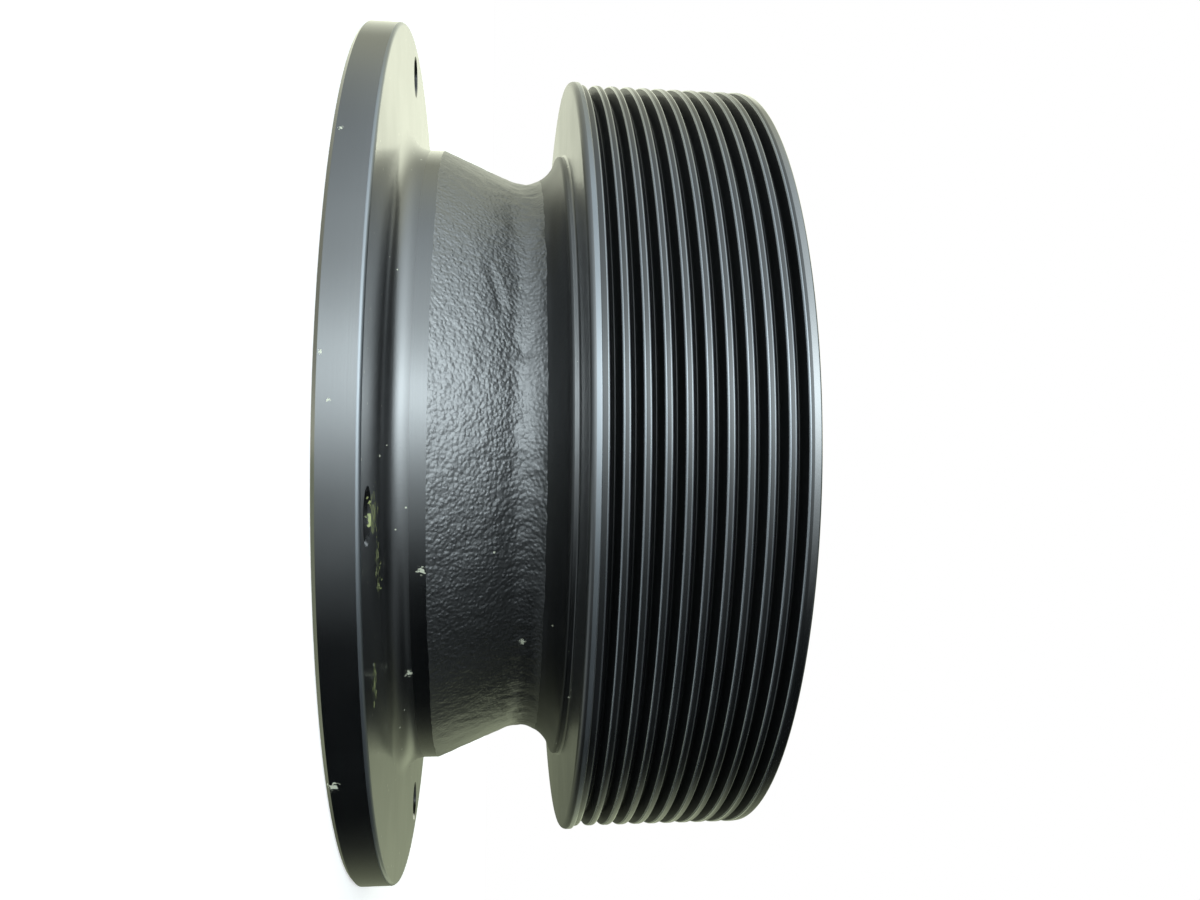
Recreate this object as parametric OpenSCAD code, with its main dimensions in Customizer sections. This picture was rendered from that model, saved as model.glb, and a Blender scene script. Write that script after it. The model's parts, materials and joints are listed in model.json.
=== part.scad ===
// Fan drive pulley: one iron casting with a bolting flange, a waisted barrel and a multi-rib belt rim.
// The pulley stands on its flange. Z is its axis, and z = 0 is the flange's bolting face.

/* [Flange] */
// Outside diameter of the flange
flange_d = 200.5; // [194:0.5:230]
// Thickness of the flange
flange_t = 7.5; // [6:0.1:12]
// Chamfer on both edges of the flange
flange_chamfer = 0.7; // [0.3:0.1:1.5]
// Turned fillet between the flange and the barrel
flange_fillet = 4.8; // [1:0.2:6]

/* [Flange bolt holes] */
// Number of bolt holes
bolt_count = 4; // [3:1:12]
// Diameter of each bolt hole
bolt_hole_d = 8.8; // [5:0.1:11]
// Distance from the flange's rim to each hole's centre
bolt_edge = 7.9; // [7:0.1:12]
// Angle of the first hole, counted from the X axis
bolt_angle = 6; // [0:1:90]
// Chamfer at both ends of each hole
bolt_chamfer = 0.5; // [0.2:0.1:1]

/* [Barrel] */
// Diameter of the turned barrel beside the flange
barrel_d = 147.4; // [142:0.2:156]
// Height at which the turned barrel ends and the rough cone starts
barrel_top = 15.4; // [13:0.2:20]
// Diameter of the waist, where the casting is narrowest
waist_d = 133.7; // [126:0.1:138]
// Height of the waist
waist_z = 33.6; // [32:0.1:34]
// Radius of the waist's hollow
waist_round = 8; // [6:0.1:8.4]
// Diameter of the raised boss on the rim's lower face
boss_d = 147; // [142:0.2:156]
// Fillet between the boss and the rim's lower face
boss_fillet = 0.5; // [0.2:0.1:1.2]

/* [Belt rim] */
// Diameter over the ribs
rim_d = 178.9; // [172:0.1:190]
// Height of the rim's lower face
rim_z = 43.2; // [42.6:0.1:48]
// Width of the lip below the ribs
lip_w = 2.25; // [1.6:0.05:2.6]
// Step from the ribs up to the lip
lip_step = 0.6; // [0.3:0.05:1.2]
// Radius on the lip's outer edge
edge_round = 1.2; // [0.5:0.1:1.4]
// Width of the shallow lead at the rim's upper end
lead_w = 1.5; // [0.8:0.1:1.8]
// How far the lead drops below the ribs
lead_drop = 0.15; // [0.05:0.05:0.3]
// Radius on the rim's upper edge
top_round = 0.5; // [0.2:0.1:0.7]
// Number of belt grooves
groove_count = 10; // [4:1:14]
// Distance from groove to groove
groove_pitch = 3.56; // [3.4:0.01:4]
// Width of a groove between the tips of its ribs
groove_w = 2.25; // [2:0.05:2.5]
// Full angle between a groove's flanks
groove_angle = 40; // [36:1:44]
// Radius on the tips of the ribs
tip_round = 0.25; // [0.2:0.05:0.35]
// Radius in the bottom of a groove
root_round = 0.25; // [0.15:0.05:0.35]
// Distance from the rim's lower face to the first groove's centre
first_groove = 4.6; // [4.2:0.1:6]
// Distance from the last groove's centre to the rim's upper face
last_groove = 3.5; // [3.2:0.1:6]

/* [Walls] */
// Wall under the grooves
rim_wall = 6.8; // [5:0.1:9]
// Wall at the waist
waist_wall = 9.4; // [7:0.1:12]
// Wall around the pilot in the flange's mouth
pilot_wall = 10.7; // [8:0.1:14]
// Depth of the pilot
pilot_h = 8; // [5:0.5:12]
// Step from the pilot in to the rough cavity
pilot_step = 1; // [0.5:0.1:2]
// Height of the cavity's floor, which is the bearing hub's lower end
floor_z = 38; // [36:0.5:40]
// Height of the web's upper face
web_z = 50.4; // [49:0.1:54]
// Draft of the cast faces in the rim's recess
cast_draft = 2; // [0.5:0.5:3]
// Fillet in the cast corners
cast_fillet = 5; // [2:0.5:6]
// Broken edge where a turned face meets a cast one
edge_break = 0.6; // [0.2:0.1:1]

/* [Bearing hub] */
// Diameter of the bearing bore
bore_d = 80; // [70:0.5:84]
// Wall around the bearing bore
hub_wall = 10; // [7:0.5:14]
// Distance from the rim's upper face down to the hub's upper end
hub_recess = 9.3; // [4:0.1:14]
// Chamfer at both ends of the bearing bore
bore_chamfer = 1; // [0.5:0.1:2]

/* [Hidden] */
paint = "#1d2022";
eps = 0.5;
$fn = 180;
fillet_fn = 48;
graze = 1.00002;

flange_r = flange_d / 2;
barrel_r = barrel_d / 2;
waist_r = waist_d / 2;
boss_r = boss_d / 2;
rim_r = rim_d / 2;
lip_r = rim_r + lip_step;
bore_r = bore_d / 2;
hub_r = bore_r + hub_wall;
pilot_r = barrel_r - pilot_wall;
cavity_mouth_r = pilot_r - pilot_step;
cavity_floor_r = waist_r - waist_wall;
bolt_circle_r = flange_r - bolt_edge;

first_groove_z = rim_z + first_groove;
rim_top = first_groove_z + (groove_count - 1) * groove_pitch + last_groove;
hub_top = rim_top - hub_recess;
flank_depth = groove_w / 2 / tan(groove_angle / 2);
groove_depth = flank_depth - root_round * (1 / sin(groove_angle / 2) - 1);
recess_r = rim_r - groove_depth - rim_wall;

// The waist's hollow is an arc about this centre, and the cone runs into it along a tangent
waist_c = [waist_r + waist_round, waist_z];
cone_top = [barrel_r, barrel_top];
cone_run = waist_c - cone_top;
cone_turn = atan2(cone_run.x, cone_run.y) - asin(waist_round / norm(cone_run));
cone_foot = waist_c - waist_round * [cos(cone_turn), -sin(cone_turn)];

function unit(v) = v / norm(v);

// What lies between corner p and a round of radius r that touches the lines to a and to b.
// It reaches past the corner, and the round a hair past the two lines, so that no sliver is left.
module corner(p, a, b, r) {
    ua = unit(a - p);
    ub = unit(b - p);
    bisector = unit(ua + ub);
    half = acos(ua * ub) / 2;
    c = bisector * r / sin(half);
    translate(p) difference() {
        polygon([-bisector * r / 4, ua * r / tan(half), c, ub * r / tan(half)]);
        translate(c) circle(r * graze, $fn = fillet_fn);
    }
}

module flange_section() {
    c = flange_chamfer;
    polygon([
        [0, 0], [flange_r - c, 0], [flange_r, c],
        [flange_r, flange_t - c], [flange_r - c, flange_t], [0, flange_t]
    ]);
    root = [barrel_r, flange_t];
    corner(root, root + [1, 0], root + [0, 1], flange_fillet);
}

// The turned barrel, the rough cone and the waist, up to the boss on the rim's lower face
module barrel_section() {
    difference() {
        union() {
            square([barrel_r, barrel_top]);
            polygon([[0, barrel_top], cone_top, cone_foot, waist_c, [waist_c.x, rim_z], [0, rim_z]]);
        }
        translate(waist_c) circle(waist_round, $fn = fillet_fn);
        translate([boss_r, waist_z]) square([waist_round, rim_z]);
    }
}

module groove_section() {
    tip_l = [rim_r, -groove_w / 2];
    tip_r = [rim_r, groove_w / 2];
    root = [rim_r - flank_depth, 0];
    difference() {
        polygon([root, tip_l, tip_l + [eps, 0], tip_r + [eps, 0], tip_r]);
        corner(root, tip_l, tip_r, root_round);
    }
    corner(tip_l, tip_l - [0, 1], root, tip_round);
    corner(tip_r, tip_r + [0, 1], root, tip_round);
}

module rim_section() {
    low = [lip_r, rim_z];
    shoulder = [lip_r, rim_z + lip_w];
    foot = [rim_r, shoulder.y];
    lead = [rim_r, rim_top - lead_w];
    top = [rim_r - lead_drop, rim_top];
    difference() {
        polygon([[0, rim_z], low, shoulder, foot, lead, top, [0, rim_top]]);
        corner(low, low - [1, 0], shoulder, edge_round);
        corner(shoulder, low, foot, tip_round);
        corner(top, top - [1, 0], lead, top_round);
        for (i = [0 : groove_count - 1])
            translate([0, first_groove_z + i * groove_pitch]) groove_section();
    }
    root = [boss_r, rim_z];
    corner(root, root - [0, 1], root + [1, 0], boss_fillet);
}

// The hollow barrel: a turned pilot in the flange's mouth, then the rough cavity up to its floor
module cavity_section() {
    floor_corner = [cavity_floor_r, floor_z];
    mouth = [cavity_mouth_r, pilot_h];
    difference() {
        polygon([[0, -eps], [pilot_r, -eps], [pilot_r, pilot_h], mouth, floor_corner, [0, floor_z]]);
        corner(floor_corner, mouth, floor_corner - [1, 0], cast_fillet);
    }
    c = bore_chamfer + eps;
    translate([0, -eps]) polygon([[0, 0], [pilot_r + c, 0], [pilot_r, c], [0, c]]);
}

// The recess between the rim and the bearing hub, and the space above the hub
module recess_section() {
    e = edge_break;
    outer_low = [recess_r - (rim_top - web_z) * tan(cast_draft), web_z];
    outer_top = [recess_r, rim_top - e];
    inner_low = [hub_r + (hub_top - web_z) * tan(cast_draft), web_z];
    inner_top = [hub_r, hub_top - e];
    difference() {
        polygon([
            inner_low, outer_low, outer_top, [recess_r + e + eps, rim_top + eps],
            [0, rim_top + eps], [0, hub_top], [hub_r - e, hub_top], inner_top
        ]);
        corner(outer_low, outer_top, inner_low, cast_fillet);
        corner(inner_low, inner_top, outer_low, cast_fillet);
    }
}

module bore_section() {
    c = bore_chamfer;
    polygon([
        [0, floor_z - eps], [bore_r + c + eps, floor_z - eps], [bore_r, floor_z + c],
        [bore_r, hub_top - c], [bore_r + c + eps, hub_top + eps], [0, hub_top + eps]
    ]);
}

module bolt_hole() {
    c = bolt_chamfer;
    r = bolt_hole_d / 2;
    translate([0, 0, -eps]) cylinder(r = r, h = flange_t + 2 * eps, $fn = fillet_fn);
    translate([0, 0, -eps]) cylinder(r1 = r + c + eps, r2 = r, h = c + eps, $fn = fillet_fn);
    translate([0, 0, flange_t - c]) cylinder(r1 = r, r2 = r + c + eps, h = c + eps, $fn = fillet_fn);
}

module fan_drive_pulley() {
    color(paint) difference() {
        rotate_extrude() difference() {
            union() {
                flange_section();
                barrel_section();
                rim_section();
            }
            cavity_section();
            recess_section();
            bore_section();
        }
        for (i = [0 : bolt_count - 1])
            rotate(bolt_angle + i * 360 / bolt_count) translate([bolt_circle_r, 0, 0]) bolt_hole();
    }
}

fan_drive_pulley();
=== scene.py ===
"""The looks of the fan drive pulley: one turned casting in satin black paint, standing on its flange.

Sizes are in millimetres, heights are counted from the flange's bolting face, and Z is the axis.
"""

import json
import math
from typing import NamedTuple

import bmesh
import bpy
from mathutils import Matrix, Vector, noise


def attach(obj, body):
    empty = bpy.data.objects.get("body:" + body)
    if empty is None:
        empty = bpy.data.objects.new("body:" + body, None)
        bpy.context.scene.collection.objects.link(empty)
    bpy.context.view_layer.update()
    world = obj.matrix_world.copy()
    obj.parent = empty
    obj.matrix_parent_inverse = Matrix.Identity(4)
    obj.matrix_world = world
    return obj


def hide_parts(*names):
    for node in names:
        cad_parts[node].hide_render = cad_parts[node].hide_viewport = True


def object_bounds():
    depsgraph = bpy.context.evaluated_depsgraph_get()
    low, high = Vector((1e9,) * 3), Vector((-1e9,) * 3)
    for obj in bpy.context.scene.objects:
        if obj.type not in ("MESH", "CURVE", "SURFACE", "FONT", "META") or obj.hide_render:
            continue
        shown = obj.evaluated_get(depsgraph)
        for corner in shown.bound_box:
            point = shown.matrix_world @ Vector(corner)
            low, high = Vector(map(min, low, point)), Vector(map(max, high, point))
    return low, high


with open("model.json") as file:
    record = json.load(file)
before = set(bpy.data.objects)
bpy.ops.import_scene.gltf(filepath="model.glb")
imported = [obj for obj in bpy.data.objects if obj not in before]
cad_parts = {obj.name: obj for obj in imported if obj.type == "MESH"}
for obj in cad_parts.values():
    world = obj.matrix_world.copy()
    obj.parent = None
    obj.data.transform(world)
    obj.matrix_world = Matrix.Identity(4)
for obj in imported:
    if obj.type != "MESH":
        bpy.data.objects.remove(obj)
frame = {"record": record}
cad_low, cad_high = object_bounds()

MM = 0.001
MOUNTS = {m["name"]: m["dims"] for m in frame["record"]["mounts"]}

# Sizes that the frame gives
FLANGE_R = cad_high.x / MM
RIM_TOP = cad_high.z / MM
BORE_R = MOUNTS["bearing_bore"]["r_mm"]
PILOT_R = MOUNTS["flange_pilot"]["r_mm"]
BOLT_CIRCLE_R = MOUNTS["flange_bolts"]["pcd_mm"] / 2
BOLT_COUNT = MOUNTS["flange_bolts"]["count"]
BOLT_R = MOUNTS["flange_bolts"]["hole_r_mm"]

# Flange and barrel
FLANGE_T = 7.5
FLANGE_CHAMFER = 0.7
FLANGE_ROUND = 0.75
FLANGE_FILLET = 4.8
BOLT_ANGLE = 6
BOLT_CHAMFER = 0.5
BARREL_R = 73.7
BARREL_TOP = 15.4
WAIST_R = 66.85
WAIST_Z = 33.6
WAIST_ROUND = 8
# Height at which the rough skin of the waist gives way to the hollow below the boss, whose low gloss is
# painted shade
CAST_TOP = 37.4
BOSS_R = 73.5
BOSS_FILLET = 0.5
BOSS_ROUND = 0.8

# Belt rim
RIM_Z = 43.2
RIM_R = 89.45
LIP_W = 2.25
LIP_STEP = 0.6
LIP_ROUND = 1.2
SHOULDER_ROUND = 0.25
LEAD_W = 1.5
LEAD_DROP = 0.15
TOP_ROUND = 0.5
GROOVE_COUNT = 10
GROOVE_PITCH = 3.56
GROOVE_W = 2.25
GROOVE_ANGLE = 40
TIP_ROUND = 0.4
ROOT_ROUND = 0.25
FIRST_GROOVE = 4.6
RIM_WALL = 6.8

# Hidden walls and the bearing hub
WAIST_WALL = 9.4
PILOT_H = 8
PILOT_STEP = 1
FLOOR_Z = 38
WEB_Z = 50.4
CAST_DRAFT = 2
CAST_FILLET = 5
EDGE_BREAK = 0.6
HUB_WALL = 10
HUB_RECESS = 9.3
BORE_CHAMFER = 1

# How finely the surfaces are cut up
TURNED_SEGMENTS = 300
CAST_SEGMENTS = 2 * TURNED_SEGMENTS
CAST_STEP = 0.8
INNER_CAST_STEP = 3.0
HOLE_SEGMENTS = 48
SMOOTH_ANGLE = 40
# The most degrees in one step of a round, from a radius of WIDE_ROUND up and below it
WIDE_ROUND = 0.5
WIDE_TURN = 12
TIGHT_TURN = 36

# The grain of the moulding sand and the shallow lumps under it, as sizes and heights
GRAIN = (1.6, 0.11)
LUMPS = (6.0, 0.09)
# The waist is lumpier than the cone, over this half width
WAIST_LUMPS = (2.4, 0.20)
WAIST_LUMPS_W = 3.5
# A crease and two pits in the cast skin, as start, end, reach and depth
DENTS = [
    ((-37.3, -58.4, 26.1), (-28.6, -61.9, 28.7), 0.7, 0.30),
    ((-19.7, -63.9, 33.2), (-19.7, -63.9, 33.2), 1.1, 0.25),
    ((-33.0, -65.6, 16.6), (-33.0, -65.6, 16.6), 0.9, 0.2),
]
# How far the ends of the cast skin wander along the axis, for each millimetre of its grain
EDGE_WANDER = 2.0

# Finish of a stretch of the section, which is also its place in the piece's list of materials
TURNED, FACED, CAST, INNER_CAST, WORN_HIGHLIGHT, RUBBED_HIGHLIGHT, SCUFFED_HIGHLIGHT, LAND, GROOVE, RIM_FACED, HOLLOW = range(11)

# Black paint with a clear sheen over it, and the iron that shows where it is worn; that iron is also
# made bright to stand in as painted highlights along the edges
PAINT = (0.003, 0.0033, 0.0036)
PAINT_IOR = 1.8
COAT_ROUGHNESS = 0.12
CAST_COAT_ROUGHNESS = 0.34
FACED_COAT_ROUGHNESS = 0.20
RIM_FACED_COAT_ROUGHNESS = 0.27
# Bare iron on the edges: partly wear, partly painted highlight lines
WORN_IRON_HIGHLIGHT = (0.32, 0.34, 0.36)
RUBBED_IRON_HIGHLIGHT = (0.17, 0.18, 0.19)
SCUFFED_IRON_HIGHLIGHT = (0.20, 0.215, 0.23)
IRON_METALLIC = 0.9
# Size and detail of the patches in which the paint drifts in tone and roughness, and how far it drifts
PATCHES = (22.0, 3.0)
TONE_DRIFT = 0.2
ROUGHNESS_DRIFT = 0.04
# Bumps that several finishes share, as kinds, sizes and heights
FINE_CUT = [("turned", 0.45, 0.006), ("even", 0.8, 0.004)]
COARSE_CUT = [("turned", 0.5, 0.012), ("even", 0.6, 0.02)]
RUBBED_SMOOTH = [("even", 0.6, 0.004)]
# The cast grain is drawn out around the axis
SWEEP = (0.7, 0.7, 1.0)
PEBBLE_SMOOTHNESS = 0.6
# The values between which most of a noise lies
NOISE_RANGE = (0.3, 0.7)

# Scattered dust and chips, as the size of a cell, the share of cells that hold one, and its size
THIN_DUST = (7.0, 0.12, 0.5)
FACE_DUST = (2.2, 0.4, 0.55)
RIM_FACE_DUST = (4.0, 0.15, 0.6)
# The cast skin's denser specks are partly dust in its pits and partly painted glints of its grain
CAST_DUST_AND_GLINTS = (3.0, 0.12, 0.5)
INNER_DUST = (5.0, 0.1, 0.5)
CHIPS = (22.0, 0.1, 1.4)
CAST_CHIPS = (16.0, 0.1, 1.2)
# Chips and dust that the photograph shows, and thin olive dabs that are partly dried dirt and partly
# painted reflection, as places and sizes
MARKS = [
    ((-54.5, -84.2, 1.6), 0.6), ((55.6, -83.4, 1.3), 1.6), ((-15.7, -99.0, 1.2), 0.5),
    ((-8.4, -99.9, 2.6), 0.5), ((21.1, -70.6, 14.5), 1.1), ((41.9, -60.6, 11.7), 1.2),
    ((37.2, -55.7, 33.4), 1.1),
]
DIRT_AND_REFLECTION_DABS = [
    ((9.6, -83.0, 7.5), 6.4), ((17.4, -78.2, 7.5), 4.6),
    ((23.0, -76.0, 7.5), 3.6), ((38.8, -79.2, 7.5), 5.0),
]
# Dust, and on the cast skin also painted glints
DUST_AND_GLINT_COLOR = (0.60, 0.61, 0.46)
# The dabs' olive is partly dried dirt and partly a painted reflection of the greenish surroundings
DAB_DIRT_AND_REFLECTION_COLOR = (0.36, 0.40, 0.12)
MARK_ROUGHNESS = 0.8
# How a spot's edge frays: the number of grains across it, and what they scale a distance by
FRAY_GRAINS = 3
FRAY = (0.5, 1.9)
# The grain of a dab, and the range of it over which the dab thins out
DAB_GRAIN = 1.1
DAB_GAPS = (0.38, 0.58)

# Camera, measured from the photograph: its place, its turn up from the level, its roll and its lens
CAMERA_AT = Vector((-1.271, -248.466, 27.684))
CAMERA_TURN = math.radians(6.21)
CAMERA_ROLL = math.radians(0.599)
CAMERA_LENS = 28.9
# Width of the sensor that the lens is given for, and the distance from which things are seen
SENSOR_W = 36.0
CAMERA_NEAR = 10

# Brightness of the surroundings around the Z axis, by the angle from the camera's side towards -X
SKY = [
    (-180, 0.5), (-160, 0.25), (-125, 0.13), (-112, 0.04), (-98, 0.005), (-60, 0.005), (-44, 0.022),
    (-30, 0.22), (-20, 0.54), (-10, 0.9), (0, 1.72), (9, 3.0), (17, 3.67), (25, 3.6), (36, 2.4),
    (46, 1.8), (58, 1.5), (72, 1.2), (90, 0.88), (112, 0.68), (130, 0.47), (150, 1.08), (170, 1.25),
]
# What is added to it in a band just above the horizon
UPPER_SKY = [
    (-165, 0.0), (-150, 0.4), (-130, 0.6), (-118, 0.35), (-104, 0.0), (-88, 0.0), (-70, 0.12),
    (-45, 0.18), (-25, 0.0),
]
SKY_PEAK = 4.0
# Smooth steps of the light, as where each starts and ends, and its value before and after. Those by
# angle are in degrees, and the others go by the upward or downward part of a direction.
BEHIND = (80.0, 130.0, 0.0, 1.0)
BACK_TURN = (-60.0, 60.0, 0.0, 1.0)
DIM_BELOW = [(0.09, 0.14, 0.0, 0.36), (0.3, 0.95, 0.0, 0.55)]
GAIN_ABOVE = (0.05, 0.5, 0.0, 0.45)
DIM_ABOVE = (0.6, 0.95, 0.0, 1.2)
BAND_START = (0.02, 0.12, 0.0, 1.0)
BAND_END = (0.18, 0.28, 0.0, 1.0)
GLOW_ABOVE = (0.4, 0.8, 0.0, 0.35)
GLOW_TURN = (-75.0, -25.0, 0.4, 1.0)
GLOW_BELOW = (0.35, 0.75, 0.0, 0.55)
FRONT_TINT = (0.88, 1.0, 1.05)
BACK_TINT = (0.96, 1.0, 0.80)
LOW_BACK_TINT = (0.90, 1.0, 0.68)
WHITE = (1.0, 1.0, 1.0)

# The floor is a disc just under the part, and its lift is brightness for the camera's eye alone
FLOOR_R = 4000
FLOOR_SIDES = 72
FLOOR_GAP = 0.05
FLOOR_COLOR = (0.85, 0.85, 0.84)
FLOOR_LIFT = 0.55


class Corner(NamedTuple):
    """A corner of the section, and the finish of the stretch that follows it."""

    r: float
    z: float
    rounding: float
    finish: int
    # Finish of the round, where it isn't that of the stretch before
    edge: int | None = None


def outer_corners():
    """The flange, the barrel with its rough cone and waist, and the boss on the rim's lower face."""
    waist = waist_points()
    return [
        Corner(PILOT_R + BORE_CHAMFER, 0, 0, TURNED),
        Corner(FLANGE_R - FLANGE_CHAMFER, 0, 0, TURNED),
        Corner(FLANGE_R, FLANGE_CHAMFER, 0, TURNED),
        Corner(FLANGE_R, FLANGE_T, FLANGE_ROUND, FACED, SCUFFED_HIGHLIGHT),
        Corner(BARREL_R, FLANGE_T, FLANGE_FILLET, TURNED),
        Corner(BARREL_R, BARREL_TOP, 0, CAST),
        *[Corner(p.x, p.y, 0, CAST if p.y < CAST_TOP else HOLLOW) for p in waist[:-1]],
        Corner(waist[-1].x, waist[-1].y, BOSS_ROUND, FACED),
        Corner(BOSS_R, RIM_Z, BOSS_FILLET, RIM_FACED),
    ]


def waist_points():
    """The rough cone runs tangent into the waist's hollow, which ends at the boss."""
    top = Vector((BARREL_R, BARREL_TOP))
    centre = Vector((WAIST_R + WAIST_ROUND, WAIST_Z))
    run = centre - top
    cone_turn = math.atan2(run.x, run.y) - math.asin(WAIST_ROUND / run.length)
    last = math.acos((centre.x - BOSS_R) / WAIST_ROUND)
    steps = math.ceil(WAIST_ROUND * (last - cone_turn) / CAST_STEP)
    angles = [cone_turn + (last - cone_turn) * k / steps for k in range(steps + 1)]
    return [centre + WAIST_ROUND * Vector((-math.cos(a), math.sin(a))) for a in angles]


def rim_corners():
    """The lip, the ribs and the shallow lead at the rim's upper end."""
    lip_r = RIM_R + LIP_STEP
    corners = [
        Corner(lip_r, RIM_Z, LIP_ROUND, SCUFFED_HIGHLIGHT),
        Corner(lip_r, RIM_Z + LIP_W, SHOULDER_ROUND, TURNED, RUBBED_HIGHLIGHT),
        Corner(RIM_R, RIM_Z + LIP_W, 0, LAND),
    ]
    for i in range(GROOVE_COUNT):
        corners += groove_corners(RIM_Z + FIRST_GROOVE + i * GROOVE_PITCH)
    corners += [
        Corner(RIM_R, RIM_TOP - LEAD_W, 0, TURNED),
        Corner(RIM_R - LEAD_DROP, RIM_TOP, TOP_ROUND, TURNED),
    ]
    return corners


def groove_corners(z):
    """Corners of one belt groove that is centred at height z, from below to above."""
    half = GROOVE_W / 2
    depth = half / math.tan(math.radians(GROOVE_ANGLE / 2))
    return [
        Corner(RIM_R, z - half, TIP_ROUND, GROOVE, RUBBED_HIGHLIGHT),
        Corner(RIM_R - depth, z, ROOT_ROUND, GROOVE),
        Corner(RIM_R, z + half, TIP_ROUND, LAND, WORN_HIGHLIGHT),
    ]


def inner_corners():
    """The recess in the rim, the bearing hub, the barrel's cavity and the pilot in its mouth."""
    flank = math.radians(GROOVE_ANGLE / 2)
    groove_depth = GROOVE_W / 2 / math.tan(flank) - ROOT_ROUND * (1 / math.sin(flank) - 1)
    recess_r = RIM_R - groove_depth - RIM_WALL
    hub_r = BORE_R + HUB_WALL
    hub_top = RIM_TOP - HUB_RECESS
    lean = math.tan(math.radians(CAST_DRAFT))
    e, c = EDGE_BREAK, BORE_CHAMFER
    return [
        Corner(recess_r + e, RIM_TOP, 0, TURNED),
        Corner(recess_r, RIM_TOP - e, 0, INNER_CAST),
        Corner(recess_r - (RIM_TOP - WEB_Z) * lean, WEB_Z, CAST_FILLET, INNER_CAST),
        Corner(hub_r + (hub_top - WEB_Z) * lean, WEB_Z, CAST_FILLET, INNER_CAST),
        Corner(hub_r, hub_top - e, 0, TURNED),
        Corner(hub_r - e, hub_top, 0, TURNED),
        Corner(BORE_R + c, hub_top, 0, TURNED),
        Corner(BORE_R, hub_top - c, 0, TURNED),
        Corner(BORE_R, FLOOR_Z + c, 0, TURNED),
        Corner(BORE_R + c, FLOOR_Z, 0, TURNED),
        Corner(WAIST_R - WAIST_WALL, FLOOR_Z, CAST_FILLET, INNER_CAST),
        Corner(PILOT_R - PILOT_STEP, PILOT_H, 0, TURNED),
        Corner(PILOT_R, PILOT_H, 0, TURNED),
        Corner(PILOT_R, c, 0, TURNED),
    ]


def section():
    """The closed outline of the casting's section, as (point, finish of what follows)."""
    return cut_up(rounded(outer_corners() + rim_corners() + inner_corners()))


def rounded(corners):
    """Turns corners into points with their finishes."""
    places = [Vector((c.r, c.z)) for c in corners]
    outline = []
    for i, corner in enumerate(corners):
        points = [places[i]]
        if corner.rounding:
            after = places[(i + 1) % len(places)]
            points = corner_round(places[i - 1], places[i], after, corner.rounding)
        on_round = corners[i - 1].finish if corner.edge is None else corner.edge
        outline += [(p, on_round) for p in points[:-1]] + [(points[-1], corner.finish)]
    return outline


def corner_round(before, p, after, radius):
    """The points of a round at corner p."""
    to_before = (before - p).normalized()
    to_after = (after - p).normalized()
    half = to_before.angle(to_after) / 2
    centre = p + (to_before + to_after).normalized() * radius / math.sin(half)
    start = p + to_before * radius / math.tan(half) - centre
    turn = math.pi - 2 * half
    if to_before.x * to_after.y - to_before.y * to_after.x > 0:
        turn = -turn
    step = WIDE_TURN if radius >= WIDE_ROUND else TIGHT_TURN
    steps = math.ceil(math.degrees(abs(turn)) / step)
    return [centre + Matrix.Rotation(turn * k / steps, 2) @ start for k in range(steps + 1)]


def cut_up(outline):
    """Cuts the cast stretches into short steps, which let the outer skin follow its grain."""
    steps = {CAST: CAST_STEP, INNER_CAST: INNER_CAST_STEP}
    filled = []
    for i, (p, finish) in enumerate(outline):
        q = outline[(i + 1) % len(outline)][0]
        parts = max(1, round((q - p).length / steps[finish])) if finish in steps else 1
        filled += [(p.lerp(q, k / parts), finish) for k in range(parts)]
    return filled


def grain(place):
    """How far the cast surface stands out at a place."""
    near_waist = math.exp(-((place.z - WAIST_Z) / WAIST_LUMPS_W) ** 2)
    size, amount = WAIST_LUMPS
    lumps = near_waist * amount * noise.noise(place / size)
    lumps += sum(amount * noise.noise(place / size) for size, amount in (GRAIN, LUMPS))
    return lumps - dented(place)


def dented(place):
    """How deep a dent of the casting is at a place."""
    deepest = 0.0
    for start, end, reach, depth in DENTS:
        run = Vector(end) - Vector(start)
        along = 0.0
        if run.length:
            along = min(1.0, max(0.0, (place - Vector(start)).dot(run) / run.length_squared))
        away = (place - Vector(start) - run * along).length
        deepest = max(deepest, depth * math.exp(-(away / reach) ** 2))
    return deepest


def revolve(outline):
    """One closed mesh of the casting: a ring of vertices for each point of its section.

    Within the outer cast skin a ring follows the grain. At the skin's ends it only wanders along
    the axis, and elsewhere it stays true.
    """
    mesh = bmesh.new()
    count = len(outline)
    rings = []
    for i, (p, finish) in enumerate(outline):
        cast_sides = (outline[i - 1][1], finish).count(CAST)
        segments = CAST_SEGMENTS if cast_sides == 2 else TURNED_SEGMENTS
        along = (outline[(i + 1) % count][0] - outline[i - 1][0]).normalized()
        shifts = (Vector((0, 0)), Vector((0, EDGE_WANDER)), Vector((along.y, -along.x)))
        ring = []
        for k in range(segments):
            a = 2 * math.pi * k / segments
            q = p
            if cast_sides:
                place = Vector((p.x * math.cos(a), p.x * math.sin(a), p.y))
                q = p + shifts[cast_sides] * grain(place)
            ring.append(mesh.verts.new((q.x * math.cos(a) * MM, q.x * math.sin(a) * MM, q.y * MM)))
        rings.append(ring)
    for i, ring in enumerate(rings):
        for face in strip(mesh, ring, rings[(i + 1) % count]):
            face.material_index = outline[i][1]
    return make_object(mesh, "pulley_casting")


def strip(mesh, low, high):
    """Faces between two rings, where one may have twice the vertices of the other."""
    n = min(len(low), len(high))
    a, b = len(low) // n, len(high) // n
    for k in range(n):
        lower = [low[(k * a + j) % len(low)] for j in range(a + 1)]
        upper = [high[(k * b + j) % len(high)] for j in range(b, -1, -1)]
        yield mesh.faces.new(lower + upper)


def make_object(mesh, name):
    """Puts a mesh into the scene as an object."""
    made = bpy.data.meshes.new(name)
    mesh.to_mesh(made)
    mesh.free()
    piece = bpy.data.objects.new(name, made)
    bpy.context.scene.collection.objects.link(piece)
    return piece


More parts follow.
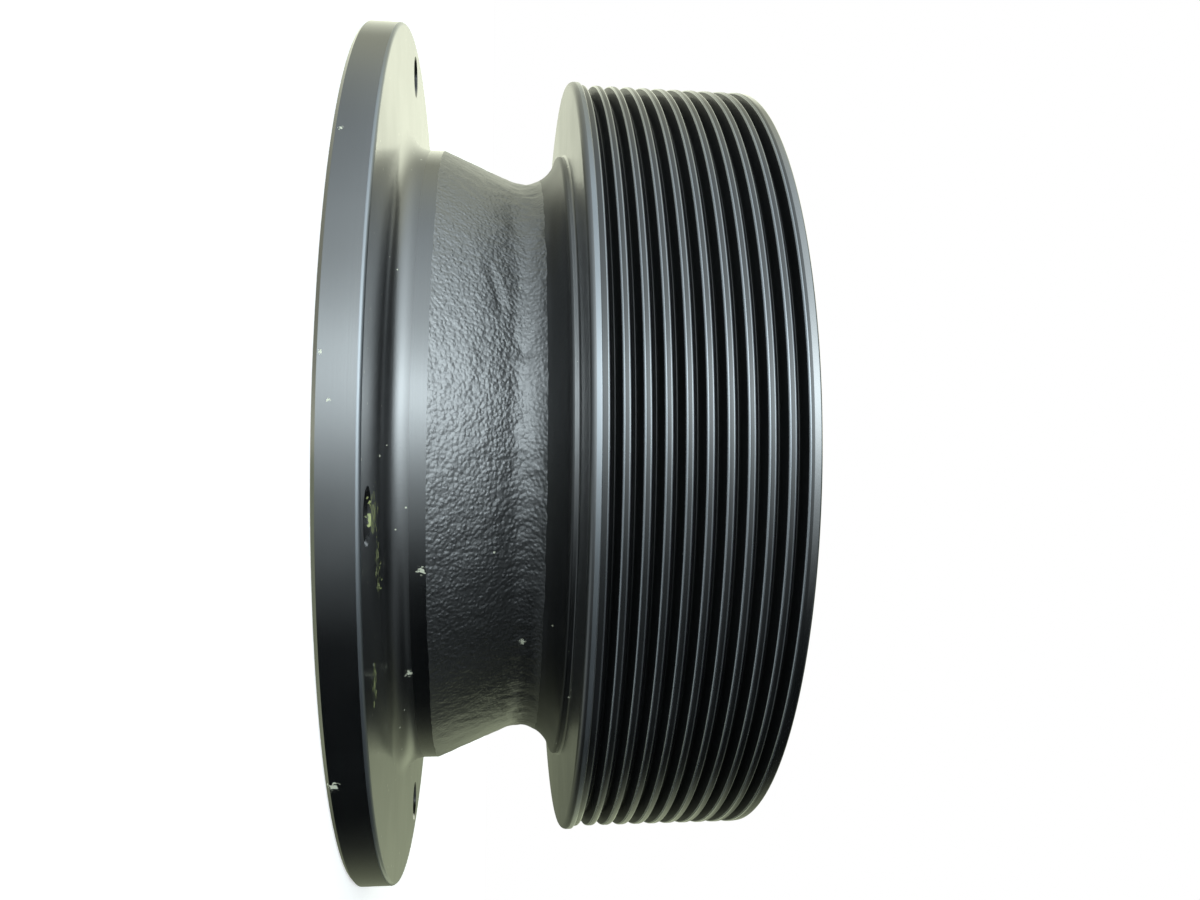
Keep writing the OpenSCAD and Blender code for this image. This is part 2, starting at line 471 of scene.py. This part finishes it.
def hole_cutter():
    """A cutter for all the bolt holes, each with a chamfer at both ends."""
    past = 1.0
    c = BOLT_CHAMFER
    profile = [
        (BOLT_R + c + past, -past), (BOLT_R, c),
        (BOLT_R, FLANGE_T - c), (BOLT_R + c + past, FLANGE_T + past),
    ]
    mesh = bmesh.new()
    for hole in range(BOLT_COUNT):
        middle = math.radians(BOLT_ANGLE + hole * 360 / BOLT_COUNT)
        rings = []
        for r, z in profile:
            ring = []
            for k in range(HOLE_SEGMENTS):
                a = 2 * math.pi * k / HOLE_SEGMENTS
                x = BOLT_CIRCLE_R * math.cos(middle) + r * math.cos(a)
                y = BOLT_CIRCLE_R * math.sin(middle) + r * math.sin(a)
                ring.append(mesh.verts.new(Vector((x, y, z)) * MM))
            rings.append(ring)
        for low, high in zip(rings, rings[1:]):
            list(strip(mesh, low, high))
        mesh.faces.new(rings[0][::-1])
        mesh.faces.new(rings[-1])
    return make_object(mesh, "bolt_hole_cutter")


def drill(piece, cutter):
    """Cuts the bolt holes and keeps the result as the piece's own mesh."""
    cut = piece.modifiers.new("bolt_holes", "BOOLEAN")
    cut.object = cutter
    cut.solver = "EXACT"
    depsgraph = bpy.context.evaluated_depsgraph_get()
    whole = bpy.data.meshes.new_from_object(piece.evaluated_get(depsgraph))
    piece.modifiers.remove(cut)
    piece.data = whole
    bpy.data.objects.remove(cutter)


def smooth(piece):
    """Smooth shading, broken at the turned edges and where the cast skin ends."""
    mesh = piece.data
    for face in mesh.polygons:
        face.use_smooth = True
    mesh.set_sharp_from_angle(angle=math.radians(SMOOTH_ANGLE))
    part_cast_from_turned(mesh)
    flat = piece.modifiers.new("flat_faces", "WEIGHTED_NORMAL")
    flat.keep_sharp = True


def part_cast_from_turned(mesh):
    """Makes each edge sharp where the cast skin meets another finish."""
    finishes = {}
    for face in mesh.polygons:
        for key in face.edge_keys:
            finishes.setdefault(key, set()).add(face.material_index)
    sharp = mesh.attributes["sharp_edge"].data
    for edge in mesh.edges:
        found = finishes[edge.key]
        if len(found) > 1 and CAST in found:
            sharp[edge.index].value = True


def build_casting():
    """The casting, with a material for each finish of its section."""
    paints = {
        TURNED: turned_paint, FACED: faced_paint, CAST: cast_paint, INNER_CAST: inner_cast_paint,
        WORN_HIGHLIGHT: worn_highlight_paint, RUBBED_HIGHLIGHT: rubbed_highlight_paint, SCUFFED_HIGHLIGHT: scuffed_highlight_paint, LAND: land_paint,
        GROOVE: groove_shade_paint, RIM_FACED: rim_faced_paint, HOLLOW: hollow_shade_paint,
    }
    piece = revolve(section())
    for finish in sorted(paints):
        piece.data.materials.append(paints[finish]())
    drill(piece, hole_cutter())
    smooth(piece)
    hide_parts("fan_drive_pulley")
    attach(piece, "root")


class Nodes:
    """Short calls for the nodes of a material or of the world."""

    def __init__(self, owner):
        owner.use_nodes = True
        self.tree = owner.node_tree
        self.tree.nodes.clear()

    def add(self, kind, inputs=None, **settings):
        node = self.tree.nodes.new("ShaderNode" + kind)
        for name, value in settings.items():
            setattr(node, name, value)
        for name, value in (inputs or {}).items():
            self.feed(node.inputs[name], value)
        return node

    def feed(self, socket, value):
        if isinstance(value, bpy.types.NodeSocket):
            self.tree.links.new(value, socket)
        else:
            socket.default_value = value

    def math(self, operation, *values):
        node = self.add("Math", operation=operation)
        for socket, value in zip(node.inputs, values):
            self.feed(socket, value)
        return node.outputs[0]

    def ramp(self, value, low, high, to_low=0.0, to_high=1.0):
        """A smooth step from one value to another."""
        node = self.add("MapRange", {
            "Value": value, "From Min": low, "From Max": high, "To Min": to_low, "To Max": to_high,
        }, interpolation_type="SMOOTHSTEP")
        return node.outputs["Result"]

    def curve(self, turn, points):
        """Straight lines through (degrees, brightness) points, for a turn that runs from 0 to 1."""
        node = self.add("ValToRGB", {"Fac": turn})
        stops = node.color_ramp
        stops.interpolation = "LINEAR"
        while len(stops.elements) < len(points):
            stops.elements.new(0.5)
        for stop, (degrees, brightness) in zip(stops.elements, points):
            stop.position = (degrees + 180) / 360
            stop.color = rgba((brightness / SKY_PEAK,) * 3)
        return self.math("MULTIPLY", node.outputs["Color"], SKY_PEAK)

    def mix(self, factor, a, b):
        """Mixes two colours."""
        node = self.add("Mix", data_type="RGBA")
        for socket, value in zip((node.inputs[0], node.inputs[6], node.inputs[7]), (factor, a, b)):
            self.feed(socket, value)
        return node.outputs[2]

    def noise(self, vector, size, detail=2.0):
        node = self.add("TexNoise", {"Vector": vector, "Scale": 1 / (size * MM), "Detail": detail})
        return node.outputs["Fac"]

    def pebbles(self, vector, size):
        """Rounded grains of about one size."""
        cells = self.add("TexVoronoi", {
            "Vector": vector, "Scale": 1 / (size * MM), "Smoothness": PEBBLE_SMOOTHNESS,
        }, feature="SMOOTH_F1")
        return self.math("SUBTRACT", 1.0, cells.outputs["Distance"])

    def spot(self, vector, place, size):
        """One spot with a frayed edge at a place."""
        away = self.add("VectorMath", {0: vector, 1: tuple(c * MM for c in place)}, operation="DISTANCE")
        fray = self.ramp(self.noise(vector, size / FRAY_GRAINS), *NOISE_RANGE, *FRAY)
        frayed = self.math("MULTIPLY", away.outputs["Value"], fray)
        return self.math("LESS_THAN", frayed, size / 2 * MM)

    def specks(self, vector, cell, share, size):
        """Scattered specks: one in a share of the cells, each up to a size across."""
        cells = self.add("TexVoronoi", {"Vector": vector, "Scale": 1 / (cell * MM)})
        lot = self.add("SeparateColor", {"Color": cells.outputs["Color"]})
        near = self.math("MULTIPLY", lot.outputs["Green"], size / 2 / cell)
        inside = self.math("LESS_THAN", cells.outputs["Distance"], near)
        chosen = self.math("LESS_THAN", lot.outputs["Red"], share)
        return self.math("MULTIPLY", inside, chosen)


def rgba(color, factor=1.0):
    """A colour for a socket, made darker or lighter by a factor."""
    return (*[c * factor for c in color], 1.0)


def painted(name, relief, roughness, specks, color=PAINT, metallic=0.0, coat=COAT_ROUGHNESS, gloss=1.0):
    """Satin black paint with dust and dirt on it, among which are painted glints and reflections. The
    relief is a list of (kind, size, height).
    """
    material = bpy.data.materials.new(name)
    n = Nodes(material)
    here = n.add("TexCoord").outputs["Object"]
    patches = n.noise(here, *PATCHES)
    tone = n.mix(patches, rgba(color, 1 - TONE_DRIFT), rgba(color, 1 + TONE_DRIFT))
    rough = n.ramp(patches, *NOISE_RANGE, roughness - ROUGHNESS_DRIFT, roughness + ROUGHNESS_DRIFT)
    dust_and_glints = dust_and_glint_cover(n, here, specks)
    dabs = dab_dirt_and_reflection(n, here)
    base = n.mix(dust_and_glints, n.mix(dabs, tone, rgba(DAB_DIRT_AND_REFLECTION_COLOR)), rgba(DUST_AND_GLINT_COLOR))
    marked_roughness = n.math("MULTIPLY", n.math("MAXIMUM", dust_and_glints, dabs), MARK_ROUGHNESS)
    shader = n.add("BsdfPrincipled", {
        "Base Color": base,
        "Roughness": n.math("MAXIMUM", rough, marked_roughness),
        "IOR": PAINT_IOR,
        "Specular IOR Level": gloss,
        "Metallic": metallic,
        "Coat Weight": gloss,
        "Coat Roughness": coat,
        "Normal": bumps(n, here, relief),
    })
    n.add("OutputMaterial", {"Surface": shader.outputs["BSDF"]})
    return material


def bumps(n, here, relief):
    """The normal of a surface with even, swept, turned or pebbled bumps."""
    parts = n.add("SeparateXYZ", {"Vector": here})
    x, y, z = (parts.outputs[k] for k in "XYZ")
    radius = n.math("SQRT", n.math("ADD", n.math("MULTIPLY", x, x), n.math("MULTIPLY", y, y)))
    places = {
        "even": here,
        "turned": n.add("CombineXYZ", {"X": radius, "Y": z}).outputs["Vector"],
        "swept": n.add("Mapping", {"Vector": here, "Scale": SWEEP}).outputs["Vector"],
    }
    normal = None
    for kind, size, height in relief:
        height_map = n.pebbles(here, size) if kind == "pebbled" else n.noise(places[kind], size)
        bump = n.add("Bump", {"Height": height_map, "Distance": height * MM, "Strength": 1.0})
        if normal:
            n.feed(bump.inputs["Normal"], normal)
        normal = bump.outputs["Normal"]
    return normal


def dust_and_glint_cover(n, here, specks):
    """Where the scattered dust, the chips and the photographed marks are. On the cast skin the specks
    are partly painted glints.
    """
    dust_and_glints = 0.0
    for cell, share, size in specks:
        dust_and_glints = n.math("MAXIMUM", dust_and_glints, n.specks(here, cell, share, size))
    for place, size in MARKS:
        dust_and_glints = n.math("MAXIMUM", dust_and_glints, n.spot(here, place, size))
    return dust_and_glints


def dab_dirt_and_reflection(n, here):
    """Where the thin olive dabs are, partly dried dirt and partly painted reflection."""
    dab_mask = 0.0
    for place, size in DIRT_AND_REFLECTION_DABS:
        dab_mask = n.math("MAXIMUM", dab_mask, n.spot(here, place, size))
    return n.math("MULTIPLY", dab_mask, n.ramp(n.noise(here, DAB_GRAIN), *DAB_GAPS))


def turned_paint():
    """The turned faces, which are cut finely."""
    return painted("turned_paint", FINE_CUT, roughness=0.22, specks=[THIN_DUST, CHIPS])


def faced_paint():
    """The flange's inner face with its fillet, and the boss, which are cut less finely."""
    return painted(
        "faced_paint", COARSE_CUT, roughness=0.32, specks=[FACE_DUST, CHIPS], coat=FACED_COAT_ROUGHNESS,
    )


def rim_faced_paint():
    """The rim's lower face and the round at its outer edge, which are duller."""
    return painted(
        "rim_faced_paint", COARSE_CUT, roughness=0.37, specks=[RIM_FACE_DUST, CHIPS],
        coat=RIM_FACED_COAT_ROUGHNESS, gloss=0.8,
    )


def hollow_shade_paint():
    """The waist's hollow below the boss, where low gloss paints in shade."""
    relief = [("turned", 0.5, 0.01), ("even", 0.6, 0.03)]
    return painted(
        "hollow_shade_paint", relief, roughness=0.40, specks=[CAST_DUST_AND_GLINTS], coat=CAST_COAT_ROUGHNESS, gloss=0.4,
    )


def cast_paint():
    """The rough cone and the waist, which keep the fine grain of the moulding sand."""
    relief = [("pebbled", 0.78, 0.18), ("swept", 0.42, 0.11), ("even", 1.6, 0.08)]
    return painted(
        "cast_paint", relief, roughness=0.40, specks=[CAST_DUST_AND_GLINTS, CAST_CHIPS], coat=CAST_COAT_ROUGHNESS,
    )


def inner_cast_paint():
    """The rough walls of the cavity and of the rim's recess."""
    relief = [("even", 4.5, 0.6), ("even", 1.5, 0.4), ("even", 0.7, 0.14)]
    return painted(
        "inner_cast_paint", relief, roughness=0.42, specks=[INNER_DUST], coat=CAST_COAT_ROUGHNESS,
    )


def scuffed_highlight_paint():
    """The rim's lip and the flange's inner edge, which handling has scuffed; their bright iron is partly
    a painted highlight.
    """
    return painted(
        "scuffed_highlight_paint", FINE_CUT, roughness=0.40, specks=[THIN_DUST],
        color=SCUFFED_IRON_HIGHLIGHT, metallic=IRON_METALLIC, coat=FACED_COAT_ROUGHNESS,
    )


def land_paint():
    """The tips of the ribs, which the belt has dulled."""
    relief = [("turned", 0.3, 0.02)]
    return painted("land_paint", relief, roughness=0.30, specks=[THIN_DUST], gloss=0.33)


def groove_shade_paint():
    """The flanks and bottoms of the grooves, where low gloss paints in the grooves' shade."""
    relief = [("turned", 0.3, 0.01)]
    return painted("groove_shade_paint", relief, roughness=0.45, specks=[THIN_DUST], gloss=0.2)


def worn_highlight_paint():
    """The ribs' lower edges, where the paint is rubbed thin over the iron; their bright iron is partly a
    painted highlight.
    """
    return painted(
        "worn_edge_highlight_paint", RUBBED_SMOOTH, roughness=0.24, specks=[THIN_DUST],
        color=WORN_IRON_HIGHLIGHT, metallic=IRON_METALLIC,
    )


def rubbed_highlight_paint():
    """The ribs' upper edges and the lip's shoulder, which are less worn; their iron is partly a painted
    highlight.
    """
    return painted(
        "rubbed_edge_highlight_paint", RUBBED_SMOOTH, roughness=0.26, specks=[THIN_DUST],
        color=RUBBED_IRON_HIGHLIGHT, metallic=IRON_METALLIC,
    )


def place_camera():
    """The camera looks about along +Y, with the part's axis across the picture, left to right."""
    flat_right = Vector((0, -math.sin(CAMERA_TURN), math.cos(CAMERA_TURN)))
    flat_up = Vector((-1, 0, 0))
    right = flat_right * math.cos(CAMERA_ROLL) + flat_up * math.sin(CAMERA_ROLL)
    up = flat_up * math.cos(CAMERA_ROLL) - flat_right * math.sin(CAMERA_ROLL)
    data = bpy.data.cameras.new("photo_view")
    data.sensor_width = SENSOR_W
    data.lens = CAMERA_LENS
    data.clip_start = CAMERA_NEAR * MM
    camera = bpy.data.objects.new("photo_view", data)
    turn = Matrix((right, up, right.cross(up))).transposed().to_4x4()
    camera.matrix_world = Matrix.Translation(CAMERA_AT * MM) @ turn
    bpy.context.scene.collection.objects.link(camera)
    bpy.context.scene.camera = camera


def light_world():
    """Soft light, mostly from -X and the camera's side. The camera itself sees plain white."""
    world = bpy.data.worlds.new("studio")
    bpy.context.scene.world = world
    n = Nodes(world)
    parts = n.add("SeparateXYZ", {"Vector": n.add("TexCoord").outputs["Generated"]})
    x, y, up = (parts.outputs[k] for k in "XYZ")
    across = n.math("MULTIPLY", x, -1.0)
    towards = n.math("MULTIPLY", y, -1.0)
    angle = n.math("DEGREES", n.math("ARCTAN2", across, towards))
    behind = n.ramp(n.math("ABSOLUTE", angle), *BEHIND)
    back = n.mix(n.ramp(angle, *BACK_TURN), rgba(LOW_BACK_TINT), rgba(BACK_TINT))
    tint = n.mix(behind, rgba(FRONT_TINT), back)
    seen = n.add("LightPath").outputs["Is Camera Ray"]
    strength = n.add("Mix", {0: seen, 2: sky_light(n, angle, up, behind), 3: 1.0}).outputs[0]
    sky = n.add("Background", {"Color": n.mix(seen, tint, rgba(WHITE)), "Strength": strength})
    n.add("OutputWorld", {"Surface": sky.outputs["Background"]})


def sky_light(n, angle, up, behind):
    """Brightness of the surroundings, by the angle around Z and by how far up a direction points."""
    turn = n.math("DIVIDE", n.math("ADD", angle, 180.0), 360.0)
    down = n.math("MULTIPLY", up, -1.0)
    dimmed = n.math("ADD", *[n.ramp(down, *step) for step in DIM_BELOW])
    dimmed = n.math("MULTIPLY", dimmed, n.math("SUBTRACT", 1.0, behind))
    gained = n.math("SUBTRACT", n.ramp(up, *GAIN_ABOVE), n.ramp(up, *DIM_ABOVE))
    share = n.math("ADD", n.math("SUBTRACT", 1.0, dimmed), gained)
    band = n.math("SUBTRACT", n.ramp(up, *BAND_START), n.ramp(up, *BAND_END))
    light = n.math("MULTIPLY", n.curve(turn, SKY), share)
    light = n.math("ADD", light, n.math("MULTIPLY", n.curve(turn, UPPER_SKY), band))
    above = n.math("MULTIPLY", n.ramp(up, *GLOW_ABOVE), n.ramp(angle, *GLOW_TURN))
    glow = n.math("ADD", above, n.ramp(down, *GLOW_BELOW))
    return n.math("MAXIMUM", light, glow)


def lay_floor():
    """A white floor that takes the part's shadow, and casts none itself."""
    mesh = bmesh.new()
    start = Vector((FLOOR_R, 0, -FLOOR_GAP)) * MM
    turns = [Matrix.Rotation(2 * math.pi * k / FLOOR_SIDES, 3, "Z") for k in range(FLOOR_SIDES)]
    mesh.faces.new([mesh.verts.new(turn @ start) for turn in turns])
    floor = make_object(mesh, "floor")
    floor.visible_shadow = False
    floor.data.materials.append(floor_white())


def floor_white():
    """Matt white, which reflections and a look from below pass through."""
    material = bpy.data.materials.new("floor_white")
    n = Nodes(material)
    path = n.add("LightPath")
    passing = n.math("MAXIMUM", path.outputs["Is Glossy Ray"], path.outputs["Is Transmission Ray"])
    passing = n.math("MAXIMUM", passing, n.add("NewGeometry").outputs["Backfacing"])
    matt = n.add("BsdfDiffuse", {"Color": rgba(FLOOR_COLOR)})
    lift = n.math("MULTIPLY", path.outputs["Is Camera Ray"], FLOOR_LIFT)
    lift = n.add("Emission", {"Strength": lift})
    both = n.add("AddShader", {0: matt.outputs["BSDF"], 1: lift.outputs["Emission"]})
    clear = n.add("BsdfTransparent")
    shown = n.add("MixShader", {0: passing, 1: both.outputs["Shader"], 2: clear.outputs["BSDF"]})
    n.add("OutputMaterial", {"Surface": shown.outputs["Shader"]})
    return material


def main():
    bpy.context.scene.view_settings.view_transform = "Standard"
    build_casting()
    lay_floor()
    light_world()
    place_camera()


main()
